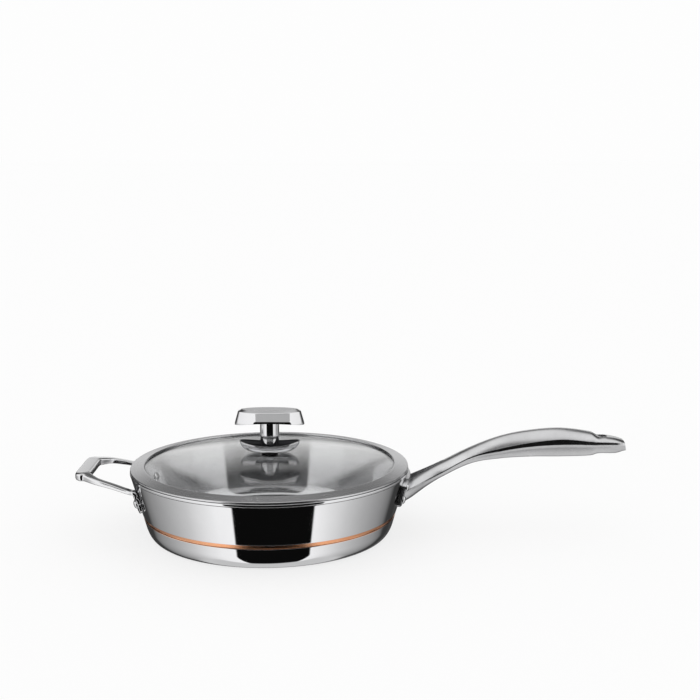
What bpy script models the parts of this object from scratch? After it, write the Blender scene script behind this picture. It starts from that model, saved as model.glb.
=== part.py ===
"""Lidded saute pan: clad pan body, long forked handle, helper handle, glass lid with an oval knob.

Units are metres, +Z is up.  The origin is the centre of the pan's underside, and the long
handle points along +X.  Every piece is one closed solid, and pieces that touch keep GAP between them.
"""
import math

import bmesh
import bpy
from mathutils import Matrix, Vector

# ---- driving dimensions ------------------------------------------------------------------
GAP = 0.0003                    # air left between two touching solids

# pan body, outside
PAN_RIM_R = 0.1383              # outer radius of the lip
PAN_HEIGHT = 0.0668             # table to the top of the lip
FILLET_WIDTH = 0.0120           # elliptical corner between underside and wall
FILLET_HEIGHT = 0.0294
WALL_TAPER = math.radians(15.55)
LIP_THICKNESS = 0.0028
LIP_OVERHANG = 0.0004           # the lip stands this far outside the wall below it
LIP_EDGE = 0.0007               # break of the lip's outer edges
LIP_ROLL = 0.0010               # break of its inner edge

# clad layers, outside to inside
SKIN = 0.0009
CORE = 0.0008
LINER = 0.0008
GROOVE_Z = 0.0231               # middle of the machined groove that shows the core
GROOVE_HEIGHT = 0.0042

# rivets
RIVET_R = 0.0028
RIVET_HEAD_R = 0.0043
RIVET_HEAD_H = 0.0024
RIVET_INNER_SHARE = 0.7         # height of the head inside the pan, over RIVET_HEAD_H
RIVET_HOLE_CLEARANCE = 0.0003
RIVET_SEAT_CLEARANCE = 0.0004

# long handle
HANDLE_REACH = 0.2154           # from the lip to the tip
TIP_LEAN = 0.25                 # the cut at the tip leans out by this much towards its lower edge
HANDLE_PLATE_THICKNESS = 0.0036
HANDLE_PLATE_HALF_ARC = 0.0374  # half the mounting plate's length, along the lip's circle
HANDLE_PLATE_DROP = (0.0353, 0.0068)    # its lower and upper edges, under the lip's top
HANDLE_PLATE_CORNER = 0.0045
HANDLE_RIVET_ARC = 0.0299       # from the middle to a rivet, along the lip's circle
HANDLE_RIVET_DROP = (0.0260, 0.0133)    # the lower and upper rivets, under the lip's top
FORK_MOUTH = (0.0353, 0.0170)   # how far inside the lip the wedge starts, and its half width there
FORK_LENGTH = 0.0352            # from the lip to the fork's closed end
FORK_END_R = 0.0014
HANG_HOLE_INSET = 0.0222        # from the tip to the hole's middle
HANG_HOLE_R = 0.0048

# helper handle
HELPER_RIVET_ARC = 0.0483       # from the middle to a rivet, along the lip's circle
HELPER_RIVET_DROP = 0.0256      # under the lip's top
HELPER_REACH = 0.0510           # from the lip to the grip's outer edge
HELPER_GRIP_DROP = 0.0032       # middle of the grip bar, under the lip's top
HELPER_GRIP_WIDTH = 0.0145
HELPER_GRIP_THICKNESS = 0.0078
HELPER_GRIP_HALF_Y = 0.0345     # half the grip's length over its outer corners
HELPER_LEG_HALF_Y = 0.0508      # from the middle to a leg, where the leg meets the wall
HELPER_LEG_WIDTH = 0.0080
HELPER_LEG_THICKNESS = 0.0036
HELPER_TAB_WIDTH = 0.0180
HELPER_TAB_THICKNESS = 0.0030
HELPER_TAB_DROP = (0.0343, 0.0160)      # its lower end and its bend, under the lip's top

# lid
LID_RIM_R = PAN_RIM_R - 0.0003
LID_RIM_WIDTH = 0.0136
LID_RIM_INNER_R = LID_RIM_R - LID_RIM_WIDTH
LID_RIM_SLOPE = math.radians(9.8)
LID_RIM_SHEET = 0.0008
LID_LIFT_GAP = 0.0004           # air between the lid's flange and the pan's lip
LID_FLANGE_THICKNESS = 0.0012   # height of the rolled outer edge
LID_SKIRT_DEPTH = 0.0062
LID_SKIRT_CLEARANCE = 0.0009
GLASS_OVERLAP = 0.0054          # the glass reaches this far under the rim
GLASS_R = LID_RIM_INNER_R + GLASS_OVERLAP
GLASS_THICKNESS = 0.0040
GLASS_RISE = 0.0116             # rise of the dome over LID_RIM_INNER_R
GLASS_LIFT = 0.0024             # the glass at LID_RIM_INNER_R, above the lip's top
GLASS_TOP_Z = PAN_HEIGHT + GLASS_LIFT + GLASS_RISE
GLASS_HOLE_R = 0.0045
GLASS_SEAL_THICKNESS = 0.0005

# knob
KNOB_SEAL_THICKNESS = 0.0006
KNOB_SEAL_R = 0.0084
DISH_RIM = (0.0300, 0.0146)     # half length and half depth of the oval dish
DISH_FOOT = (0.0140, 0.0085)
DISH_HEIGHT = 0.0109            # at its two ends
DISH_DIP = 0.0036               # the dish's rim is this much lower at its front and back
DISH_WALL = 0.0012
STEM_R = 0.0095
STEM_FOOT_R = 0.0076
KNOB_HEIGHT = 0.0438            # from the glass to the top of the cap
CAP_HEIGHT = 0.0153
CAP_EDGE_DROP = 0.0017          # the cap's upper edge, under its top
CAP_WEB = 0.0051                # solid middle of the cap that stands on the stem
CAP_EDGE = (0.0312, 0.0146)     # half length and half depth of the cap's upper edge
CAP_SKIRT = (0.0347, 0.0186)    # the same for its lower rim
CAP_TOP_Z = GLASS_TOP_Z + KNOB_HEIGHT
CAP_EDGE_Z = CAP_TOP_Z - CAP_EDGE_DROP
CAP_SKIRT_Z = CAP_TOP_Z - CAP_HEIGHT
CAP_UNDERSIDE_Z = CAP_TOP_Z - CAP_WEB
CAP_ARCH = 0.0040               # the lower rim rises this much at its front and back
CAP_WALL = 0.0016
INSET = (0.0276, 0.0088)        # half length and half depth of the plate let into the cap
INSET_THICKNESS = 0.0010
SCREW_R = 0.0024
SCREW_HEAD_R = 0.0046
SCREW_HEAD_H = 0.0028
SCREW_LENGTH = 0.0200
TOP_SCREW_LENGTH = 0.0130
TOP_SCREW_HEAD_R = 0.0042
LOWER_WASHER_R = 0.0100
LOWER_WASHER_THICKNESS = 0.0012
SCREW_CLEARANCE = 0.0004

# facets
ROUND_STEPS = 56                # around the pan and the lid
SMALL_STEPS = 20                # around stems, screws and rivets
OVAL_STEPS = 32                 # around the knob's ovals
RIVET_STEPS = 12
CUTTER_STEPS = 16
CUTTER_REACH = 0.0250           # how far a cutter reaches past the face that it cuts


# ---- scene and materials -----------------------------------------------------------------
def clear_scene():
    for obj in list(bpy.data.objects):
        bpy.data.objects.remove(obj, do_unlink=True)


def make_material(name, color, roughness, metallic, transmission=0.0, ior=1.45):
    material = bpy.data.materials.new(name)
    material.use_nodes = True
    shader = material.node_tree.nodes["Principled BSDF"]
    shader.inputs["Base Color"].default_value = (*color, 1.0)
    shader.inputs["Roughness"].default_value = roughness
    shader.inputs["Metallic"].default_value = metallic
    shader.inputs["Transmission Weight"].default_value = transmission
    shader.inputs["IOR"].default_value = ior
    return material


FINISHES = {
    "mirror": ((0.78, 0.78, 0.79), 0.06, 1.0),
    "brushed": ((0.70, 0.70, 0.71), 0.30, 1.0),
    "copper": ((0.85, 0.42, 0.24), 0.25, 1.0),
    "silicone": ((0.05, 0.05, 0.05), 0.60, 0.0),
    "zinc": ((0.62, 0.63, 0.64), 0.35, 1.0),
    "glass": ((0.95, 0.98, 0.97), 0.02, 0.0, 1.0, 1.50),
}


def finish_object(obj, finish):
    obj.data.materials.append(make_material(obj.name + "_" + finish, *FINISHES[finish]))
    obj.data.shade_smooth()
    obj.data.set_sharp_from_angle(angle=math.radians(28.0))
    return obj


# ---- mesh building -----------------------------------------------------------------------
def mesh_object(name, bm, finish):
    """Makes an object from a bmesh, with its faces pointing out and no seam or pole doubles."""
    bmesh.ops.remove_doubles(bm, verts=bm.verts[:], dist=1.0e-6)
    bmesh.ops.recalc_face_normals(bm, faces=bm.faces[:])
    mesh = bpy.data.meshes.new(name)
    bm.to_mesh(mesh)
    bm.free()
    obj = bpy.data.objects.new(name, mesh)
    bpy.context.scene.collection.objects.link(obj)
    if finish:
        finish_object(obj, finish)
    return obj


def loft(bm, rings, wrap_rings=False, cap_ends=False):
    """Skins rings of points that hold the same count; each ring is closed on itself."""
    made = [[bm.verts.new(point) for point in ring] for ring in rings]
    pairs = list(zip(made, made[1:]))
    if wrap_rings:
        pairs.append((made[-1], made[0]))
    for first, second in pairs:
        for i in range(len(first)):
            j = (i + 1) % len(first)
            bm.faces.new((first[i], first[j], second[j], second[i]))
    if cap_ends:
        bm.faces.new(made[0])
        bm.faces.new(made[-1])
    return made


def turned(name, profile, steps, finish, wrap=True):
    """Turns (radius, z) points about Z; wrap joins the last point to the first, for a ring."""
    bm = bmesh.new()
    outline = [bm.verts.new((radius, 0.0, z)) for radius, z in profile]
    edges = [bm.edges.new(pair) for pair in zip(outline, outline[1:])]
    if wrap:
        edges.append(bm.edges.new((outline[-1], outline[0])))
    bmesh.ops.spin(bm, geom=outline + edges, cent=(0, 0, 0), axis=(0, 0, 1),
                   angle=2.0 * math.pi, steps=steps, use_merge=True)
    return mesh_object(name, bm, finish)


def oval(half_x, half_y, z, arch=0.0, power=2.0):
    """One ring of an oval; arch lifts its front and back above its ends."""
    ring = []
    for i in range(OVAL_STEPS):
        angle = 2.0 * math.pi * i / OVAL_STEPS
        c, s = math.cos(angle), math.sin(angle)
        x = half_x * math.copysign(abs(c) ** (2.0 / power), c)
        y = half_y * math.copysign(abs(s) ** (2.0 / power), s)
        ring.append(Vector((x, y, z + arch * s * s)))
    return ring


def arc(center, radii, start, end, count):
    """Points on an elliptical arc, angles in degrees, both ends included."""
    points = []
    for i in range(count):
        angle = math.radians(start + (end - start) * i / (count - 1))
        points.append((center[0] + radii[0] * math.cos(angle), center[1] + radii[1] * math.sin(angle)))
    return points


def smooth_row(rows, x):
    """Reads a table of rows (x, a, b, ...) at x, on a Catmull-Rom curve through its points."""
    last = len(rows) - 2
    k = max(i for i in range(last + 1) if rows[i][0] <= x + 1.0e-9)
    before, here, there, after = rows[max(k - 1, 0)], rows[k], rows[k + 1], rows[min(k + 2, last + 1)]
    span = there[0] - here[0]
    t = (x - here[0]) / span
    values = []
    for a, b, c, d in list(zip(before, here, there, after))[1:]:
        slope_b = (c - a) / (there[0] - before[0]) * span
        slope_c = (d - b) / (after[0] - here[0]) * span
        values.append((2 * t ** 3 - 3 * t ** 2 + 1) * b + (t ** 3 - 2 * t ** 2 + t) * slope_b
                      + (-2 * t ** 3 + 3 * t ** 2) * c + (t ** 3 - t ** 2) * slope_c)
    return values


def boolean(obj, cutter, operation="DIFFERENCE"):
    """Adds an exact Boolean that stays live; a cutter is hidden from renders."""
    modifier = obj.modifiers.new(operation.lower() + "_" + cutter.name, "BOOLEAN")
    modifier.operation = operation
    modifier.solver = "EXACT"
    modifier.object = cutter
    cutter.hide_render = True
    cutter.display_type = "WIRE"


# ---- the pan's outer line, and its layers -------------------------------------------------
def wall_radius(z):
    """Outer radius of the straight wall at a height."""
    lip_low_z = PAN_HEIGHT - LIP_THICKNESS
    return PAN_RIM_R - LIP_OVERHANG - (lip_low_z - z) * math.tan(WALL_TAPER)


def outer_line(top_z, count=7):
    """The outside of the pan from the edge of the flat underside up to top_z."""
    end = math.atan(math.tan(WALL_TAPER) * FILLET_HEIGHT / FILLET_WIDTH)
    flat_r = wall_radius(FILLET_HEIGHT * (1.0 - math.sin(end))) - FILLET_WIDTH * math.cos(end)
    corner = arc((flat_r, FILLET_HEIGHT), (FILLET_WIDTH, FILLET_HEIGHT), -90.0, -math.degrees(end), count)
    return corner + [(wall_radius(top_z), top_z)]


def inward(line, depth):
    """Moves an outer line into the wall by depth, square to itself, and keeps its end heights."""
    moved = []
    for i, (radius, z) in enumerate(line):
        before, after = line[max(i - 1, 0)], line[min(i + 1, len(line) - 1)]
        along = Vector((after[0] - before[0], after[1] - before[1])).normalized()
        moved.append((radius - along.y * depth, z + along.x * depth))
    moved[0] = (line[0][0], line[0][1] + depth)
    top_shift = depth / math.cos(WALL_TAPER)
    moved[-1] = (line[-1][0] - top_shift, line[-1][1])
    return moved


def cut_line(line, z_from, z_to):
    """The stretch of a rising line between two heights, with a point exactly at each."""
    def at(z):
        for (r0, z0), (r1, z1) in zip(line, line[1:]):
            if z0 <= z <= z1:
                return (r0 + (r1 - r0) * (z - z0) / (z1 - z0), z)
        return line[-1]
    inside = [point for point in line if z_from + 1.0e-6 < point[1] < z_to - 1.0e-6]
    return [at(z_from)] + inside + [at(z_to)]


def radial_matrix(angle, z, offset):
    """Stands at the wall's outside at an angle and height, with +Z pointing out, square to the wall."""
    outward = Vector((math.cos(WALL_TAPER) * math.cos(angle), math.cos(WALL_TAPER) * math.sin(angle),
                      -math.sin(WALL_TAPER)))
    radius = wall_radius(z)
    place = Vector((radius * math.cos(angle), radius * math.sin(angle), z)) + outward * offset
    return Matrix.Translation(place) @ outward.to_track_quat("Z", "Y").to_matrix().to_4x4()


def rivet_places():
    """Name, angle, height and clamped outer thickness of every rivet."""
    places = []
    for side, sign in (("left", 1.0), ("right", -1.0)):
        for level, drop in zip(("lower", "upper"), HANDLE_RIVET_DROP):
            places.append(("handle_rivet_" + level + "_" + side, sign * HANDLE_RIVET_ARC / PAN_RIM_R,
                           PAN_HEIGHT - drop, HANDLE_PLATE_THICKNESS))
        places.append(("helper_rivet_" + side, math.pi - sign * HELPER_RIVET_ARC / PAN_RIM_R,
                       PAN_HEIGHT - HELPER_RIVET_DROP, HELPER_TAB_THICKNESS))
    return places


WALL_STACK = SKIN + CORE + LINER + 2.0 * GAP


def make_rivets():
    for name, angle, z, clamped in rivet_places():
        inner = -(WALL_STACK + GAP)
        outer = GAP + clamped + GAP
        head_in = arc((0.0, inner), (RIVET_HEAD_R, RIVET_HEAD_H * RIVET_INNER_SHARE), -90.0, 0.0, 3)
        head_out = arc((0.0, outer), (RIVET_HEAD_R, RIVET_HEAD_H), 0.0, 90.0, 4)
        profile = [(0.0, head_in[0][1])] + head_in[1:] + [(RIVET_R, inner), (RIVET_R, outer)]
        profile += head_out[:-1] + [(0.0, head_out[-1][1])]
        rivet = turned(name, profile, RIVET_STEPS, "mirror", wrap=False)
        rivet.matrix_world = radial_matrix(angle, z, 0.0)


def wall_cutter(name):
    """Everything inside the pan's outer wall, with the gap that a fitting keeps to it."""
    top_z = PAN_HEIGHT + CUTTER_REACH
    clear = GAP / math.cos(WALL_TAPER)
    return turned(name, [(0.0, 0.0), (wall_radius(0.0) + clear, 0.0), (wall_radius(top_z) + clear, top_z),
                         (0.0, top_z)], ROUND_STEPS, None, wrap=False)


def rivet_cutter(name, angle, z, radius):
    """A plain bar along a rivet's axis, for drilling what the rivet passes through."""
    cutter = turned("cutter_" + name, [(0.0, -CUTTER_REACH), (radius, -CUTTER_REACH),
                                       (radius, CUTTER_REACH), (0.0, CUTTER_REACH)],
                    CUTTER_STEPS, None, wrap=False)
    cutter.matrix_world = radial_matrix(angle, z, 0.0)
    return cutter


def make_pan():
    lip_low = PAN_HEIGHT - LIP_THICKNESS
    outside = outer_line(lip_low - GAP)
    core_out = inward(outside, SKIN + GAP)
    core_in = inward(outside, SKIN + GAP + CORE)
    liner_out = inward(outside, SKIN + CORE + 2.0 * GAP)
    liner_in = inward(outside, WALL_STACK)
    skin_in = inward(outside, SKIN)
    groove_low = GROOVE_Z - GROOVE_HEIGHT / 2.0
    groove_high = GROOVE_Z + GROOVE_HEIGHT / 2.0
    top = outside[-1][1]

    upper_out = cut_line(outside, groove_high, top)
    upper_in = cut_line(skin_in, groove_high, top)
    wall_skin = turned("outer_wall_skin", upper_out + upper_in[::-1], ROUND_STEPS, "mirror")

    lower_out = [(0.0, 0.0)] + cut_line(outside, 0.0, groove_low)
    lower_in = cut_line(skin_in, skin_in[0][1], groove_low)[::-1] + [(0.0, SKIN)]
    turned("base_skin", lower_out + lower_in, ROUND_STEPS, "mirror", wrap=False)

    core = turned("copper_core", [(0.0, core_out[0][1])] + core_out + core_in[::-1]
                  + [(0.0, core_in[0][1])], ROUND_STEPS, "copper", wrap=False)

    lip_r = PAN_RIM_R
    lip_inner = wall_radius(PAN_HEIGHT) - WALL_STACK / math.cos(WALL_TAPER)
    lip = [(lip_r - LIP_EDGE, lip_low), (lip_r, lip_low + LIP_EDGE), (lip_r, PAN_HEIGHT - LIP_EDGE),
           (lip_r - LIP_EDGE, PAN_HEIGHT), (lip_inner + LIP_ROLL, PAN_HEIGHT),
           (lip_inner, PAN_HEIGHT - LIP_ROLL)]
    under_lip = [(liner_out[-1][0], lip_low)]
    liner = turned("pan_inner_liner", [(0.0, liner_out[0][1])] + liner_out[:-1] + under_lip + lip
                   + liner_in[:-1][::-1] + [(0.0, liner_in[0][1])], ROUND_STEPS, "brushed", wrap=False)

    for name, angle, z, _ in rivet_places():
        drill = rivet_cutter(name, angle, z, RIVET_R + RIVET_HOLE_CLEARANCE)
        for layer in (wall_skin, core, liner):
            boolean(layer, drill)


# ---- long handle --------------------------------------------------------------------------
# Stations along the handle: x from the lip outwards; heights above the lip's top of the crest, the
# upper edge, the band's lower edge and the underside; half width; and how flat the crown is.
HANDLE_STATIONS = (
    (-0.0053, -0.0143, -0.0203, -0.0213, -0.0355, 0.0240, 2.2),
    (0.0027, -0.0101, -0.0171, -0.0181, -0.0310, 0.0215, 2.2),
    (0.0177, -0.0028, -0.0106, -0.0118, -0.0200, 0.0155, 2.2),
    (0.0327, 0.0045, -0.0036, -0.0049, -0.0107, 0.0120, 2.2),
    (0.0627, 0.0195, 0.0121, 0.0106, 0.0032, 0.0112, 2.2),
    (0.0917, 0.0305, 0.0210, 0.0175, 0.0081, 0.0127, 2.2),
    (0.1217, 0.0365, 0.0272, 0.0224, 0.0099, 0.0145, 2.2),
    (0.1517, 0.0385, 0.0301, 0.0243, 0.0099, 0.0147, 2.2),
    (0.1817, 0.0348, 0.0276, 0.0239, 0.0110, 0.0137, 2.4),
    (0.1882, 0.0311, 0.0269, 0.0239, 0.0131, 0.0132, 3.8),
    (0.1967, 0.0306, 0.0266, 0.0238, 0.0133, 0.0124, 4.0),
    (0.2067, 0.0291, 0.0260, 0.0233, 0.0134, 0.0108, 3.6),
    (HANDLE_REACH, 0.0262, 0.0250, 0.0224, 0.0160, 0.0080, 3.0),
)


def handle_section(x):
    """One cross-section of the handle: crowned top, narrow side band, rounded underside."""
    crest, edge, band, under, half, power = smooth_row(HANDLE_STATIONS, x)
    depth = band - under
    right = []
    for i in range(1, 5):
        share = i / 4.0
        right.append((half * share, crest - (crest - edge) * share ** power))
    right.append((half - 0.0008, edge - (edge - band) * 0.5))
    right.append((half - 0.0002, band))
    right.append((half * 0.96, band - 0.35 * depth))
    right.append((half * 0.80, band - 0.74 * depth))
    right.append((half * 0.48, band - 0.96 * depth))
    points = [(0.0, crest)] + right + [(0.0, under)] + [(-y, z) for y, z in reversed(right)]
    return [Vector((PAN_RIM_R + x, y, PAN_HEIGHT + z)) for y, z in points]


def make_long_handle():
    bm = bmesh.new()
    root_x = HANDLE_STATIONS[0][0]
    stations = [root_x + (HANDLE_REACH - root_x) * i / 34.0 for i in range(35)]
    rings = [handle_section(x) for x in stations]
    middle = PAN_HEIGHT + (HANDLE_STATIONS[-1][1] + HANDLE_STATIONS[-1][4]) / 2.0
    for point in rings[-1]:
        point.x += TIP_LEAN * (middle - point.z)
    loft(bm, rings, cap_ends=True)
    handle = mesh_object("long_handle", bm, "brushed")

    # the fork: a wedge-shaped opening with a rounded end
    bm = bmesh.new()
    mouth_x = PAN_RIM_R - FORK_MOUTH[0]
    end_x = PAN_RIM_R + FORK_LENGTH - FORK_END_R
    outline = [(mouth_x, -FORK_MOUTH[1]), (end_x, -FORK_END_R)]
    outline += arc((end_x, 0.0), (FORK_END_R, FORK_END_R), -60.0, 60.0, 5)
    outline += [(end_x, FORK_END_R), (mouth_x, FORK_MOUTH[1])]
    top_z = PAN_HEIGHT + max(station[1] for station in HANDLE_STATIONS) + FORK_END_R
    loft(bm, [[Vector((x, y, z)) for x, y in outline] for z in (0.0, top_z)], cap_ends=True)
    boolean(handle, mesh_object("cutter_fork", bm, None))

    # the plate that hugs the wall, joined to the arms
    bm = bmesh.new()
    rings = []
    for i in range(13):
        share = i / 6.0 - 1.0
        angle = HANDLE_PLATE_HALF_ARC / PAN_RIM_R * share
        corner = HANDLE_PLATE_CORNER * (max(0.0, 3.0 * abs(share) - 2.0)) ** 2
        low, high = (PAN_HEIGHT - drop for drop in HANDLE_PLATE_DROP)
        ring = []
        for z, depth in ((low + corner, 0.0), (low + corner, HANDLE_PLATE_THICKNESS),
                         (high - corner, HANDLE_PLATE_THICKNESS), (high - corner, 0.0)):
            radius = wall_radius(z) + (GAP + depth) / math.cos(WALL_TAPER)
            ring.append(Vector((radius * math.cos(angle), radius * math.sin(angle), z)))
        rings.append(ring)
    loft(bm, rings, cap_ends=True)
    boolean(handle, mesh_object("cutter_plate", bm, None), "UNION")

    boolean(handle, wall_cutter("cutter_wall"))
    hole = [(0.0, PAN_HEIGHT), (HANG_HOLE_R, PAN_HEIGHT), (HANG_HOLE_R, top_z), (0.0, top_z)]
    cutter = turned("cutter_hang_hole", hole, SMALL_STEPS, None, wrap=False)
    cutter.location.x = PAN_RIM_R + HANDLE_REACH - HANG_HOLE_INSET
    boolean(handle, cutter)
    for name, angle, z, clamped in rivet_places():
        if name.startswith("handle"):
            drill_rivet_seat(handle, name, angle, z, clamped)


def drill_rivet_seat(piece, name, angle, z, clamped):
    """Cuts a rivet's hole, and room for its head, into the piece that it holds."""
    boolean(piece, rivet_cutter(name + "_" + piece.name, angle, z, RIVET_R + RIVET_HOLE_CLEARANCE))
    seat_r, face = RIVET_HEAD_R + RIVET_SEAT_CLEARANCE, GAP + clamped
    seat = turned("cutter_seat_" + name, [(0.0, face), (seat_r, face), (seat_r, CUTTER_REACH),
                                          (0.0, CUTTER_REACH)], CUTTER_STEPS, None, wrap=False)
    seat.matrix_world = radial_matrix(angle, z, 0.0)
    boolean(piece, seat)


# ---- helper handle ------------------------------------------------------------------------
def helper_path():
    """Half of the helper's centre line, from the tab's lower end to the middle of the grip.

    Each entry is a point, the bar's width and thickness there, and the direction of its width.
    """
    angle = math.pi - HELPER_RIVET_ARC / PAN_RIM_R
    tab_low, tab_high = (PAN_HEIGHT - drop for drop in HELPER_TAB_DROP)
    across_tab = Vector((-math.sin(angle), math.cos(angle), 0.0))
    outward = Vector((math.cos(WALL_TAPER) * math.cos(angle), math.cos(WALL_TAPER) * math.sin(angle),
                      -math.sin(WALL_TAPER)))
    lift = outward * (GAP + HELPER_TAB_THICKNESS / 2.0)

    def on_wall(z):
        radius = wall_radius(z)
        return Vector((radius * math.cos(angle), radius * math.sin(angle), z)) + lift

    grip_x = -(PAN_RIM_R + HELPER_REACH - HELPER_GRIP_WIDTH / 2.0)
    grip_z = PAN_HEIGHT - HELPER_GRIP_DROP
    corner = Vector((grip_x, HELPER_GRIP_HALF_Y, grip_z))
    wall_r = wall_radius(tab_high)
    foot = Vector((-math.sqrt(wall_r ** 2 - HELPER_LEG_HALF_Y ** 2), HELPER_LEG_HALF_Y, tab_high))
    foot += lift * 1.4
    reach = corner - foot
    side = Vector((-reach.y, reach.x, 0.0)).normalized()
    tab = (HELPER_TAB_WIDTH, HELPER_TAB_THICKNESS)
    leg = (HELPER_LEG_WIDTH, HELPER_LEG_THICKNESS)
    grip = (HELPER_GRIP_WIDTH, HELPER_GRIP_THICKNESS)
    shoulder = on_wall(tab_high - 0.0020).lerp(foot, 0.55)
    return [
        (on_wall(tab_low), (tab[0] * 0.45, tab[1]), across_tab),
        (on_wall(tab_low + 0.0022), (tab[0] * 0.86, tab[1]), across_tab),
        (on_wall(tab_low + 0.0050), tab, across_tab),
        (on_wall(PAN_HEIGHT - HELPER_RIVET_DROP + 0.0030), tab, across_tab),
        (shoulder, (tab[0] * 0.66, tab[1]), across_tab),
        (foot + Vector((-0.0008, 0.0, 0.0030)), (leg[0] * 1.15, leg[1]), across_tab.lerp(side, 0.5)),
        (foot + reach * 0.12 + Vector((0.0, 0.0, 0.0020)), leg, side),
        (foot + reach * 0.42 + Vector((0.0, 0.0008, 0.0022)), (leg[0], leg[1] * 1.2), side),
        (foot + reach * 0.72 + Vector((0.0, 0.0010, 0.0018)), (leg[0] * 1.05, leg[1] * 1.55), side),
        (corner + Vector((0.0052, -0.0032, -0.0003)), (leg[0] * 1.3, grip[1] * 0.96),
         Vector((0.55, -0.83, 0.0))),
        (corner + Vector((0.0012, -0.0060, 0.0)), (grip[0] * 1.02, grip[1]), Vector((0.88, -0.47, 0.0))),
        (corner + Vector((0.0, -0.0120, 0.0)), grip, Vector((1.0, -0.1, 0.0))),
        (Vector((grip_x, 0.0, grip_z)), grip, Vector((1.0, 0.0, 0.0))),
    ]


def refine(path, parts):
    """Puts parts - 1 new stations between each two, on Catmull-Rom curves through all of them."""
    rows = [(float(i), *point, *size, *side.normalized()) for i, (point, size, side) in enumerate(path)]
    fine = []
    for k in range((len(rows) - 1) * parts + 1):
        values = smooth_row(rows, k / parts)
        fine.append((Vector(values[0:3]), values[3:5], Vector(values[5:8])))
    return fine


def make_helper_handle():
    half = refine(helper_path(), 2)
    mirrored = []
    for point, size, side in half[-2::-1]:
        mirrored.append((Vector((point.x, -point.y, point.z)), size, Vector((side.x, -side.y, side.z))))
    path = half + mirrored
    rings = []
    for i, (point, (width, thickness), side) in enumerate(path):
        before = path[max(i - 1, 0)][0]
        after = path[min(i + 1, len(path) - 1)][0]
        along = (after - before).normalized()
        side = (side - along * side.dot(along)).normalized()
        up = side.cross(along)
        ring = []
        for y, z in ((-0.5, -0.3), (-0.38, -0.5), (0.38, -0.5), (0.5, -0.3),
                     (0.5, 0.3), (0.38, 0.5), (-0.38, 0.5), (-0.5, 0.3)):
            ring.append(point + side * (y * width) + up * (z * thickness))
        rings.append(ring)
    bm = bmesh.new()
    loft(bm, rings, cap_ends=True)
    helper = mesh_object("helper_handle", bm, "mirror")
    boolean(helper, wall_cutter("cutter_wall_helper"))
    for name, angle, z, clamped in rivet_places():
        if name.startswith("helper"):
            drill_rivet_seat(helper, name, angle, z, clamped)


# ---- lid ----------------------------------------------------------------------------------
def dome_z(radius):
    """Height of the glass's upper face at a radius from the lid's middle."""
    sphere = (LID_RIM_INNER_R ** 2 + GLASS_RISE ** 2) / (2.0 * GLASS_RISE)
    return GLASS_TOP_Z - (sphere - math.sqrt(sphere ** 2 - radius ** 2))


def make_lid():
    rings = 6
    radii = [GLASS_HOLE_R + (GLASS_R - 0.0012 - GLASS_HOLE_R) * i / (rings - 1) for i in range(rings)]
    top = [(r, dome_z(r)) for r in radii]
    edge_z = dome_z(GLASS_R)
    edge = [(GLASS_R, edge_z - 0.0012), (GLASS_R, edge_z - GLASS_THICKNESS + 0.0012)]
    bottom = [(r, dome_z(r) - GLASS_THICKNESS) for r in reversed(radii)]
    turned("lid_glass", top + edge + bottom, ROUND_STEPS, "glass")

    # a flat strip of sealant between the glass and the rim
    seal_in, seal_out = LID_RIM_INNER_R + 0.0005, GLASS_R - 0.0008
    lift = GAP + GLASS_SEAL_THICKNESS
    turned("lid_seal", [(seal_in, dome_z(seal_in) + lift), (seal_out, dome_z(seal_out) + lift),
                        (seal_out, dome_z(seal_out) + GAP), (seal_in, dome_z(seal_in) + GAP)],
           ROUND_STEPS, "silicone")

    # the rim: sloping face, rolled edge that rests over the lip, skirt that centres the lid
    slope = math.tan(LID_RIM_SLOPE)
    under_z = dome_z(LID_RIM_INNER_R) + GLASS_SEAL_THICKNESS + 2.0 * GAP
    face_z = under_z + LID_RIM_SHEET
    floor_z = PAN_HEIGHT + LID_LIFT_GAP
    shoulder_r = LID_RIM_R - 0.0008
    shoulder_z = max(face_z - (shoulder_r - LID_RIM_INNER_R) * slope, floor_z + LID_FLANGE_THICKNESS)
    skirt_z = floor_z - LID_SKIRT_DEPTH
    pan_inner = wall_radius(skirt_z) - WALL_STACK / math.cos(WALL_TAPER)
    skirt_r = pan_inner - LID_SKIRT_CLEARANCE
    glass_clear = GLASS_R + 0.0005
    underside_z = dome_z(glass_clear) + GLASS_SEAL_THICKNESS + 2.0 * GAP
    turned("lid_rim", [
        (LID_RIM_INNER_R, face_z), (LID_RIM_INNER_R + 0.0005, face_z + 0.0001),
        (shoulder_r, shoulder_z), (LID_RIM_R, shoulder_z - 0.0006),
        (LID_RIM_R, floor_z + 0.0004), (LID_RIM_R - 0.0004, floor_z),
        (skirt_r, floor_z), (skirt_r, skirt_z), (skirt_r - LID_RIM_SHEET, skirt_z),
        (max(skirt_r - LID_RIM_SHEET - 0.0016, glass_clear), underside_z),
        (LID_RIM_INNER_R, under_z)], ROUND_STEPS, "brushed")


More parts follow.
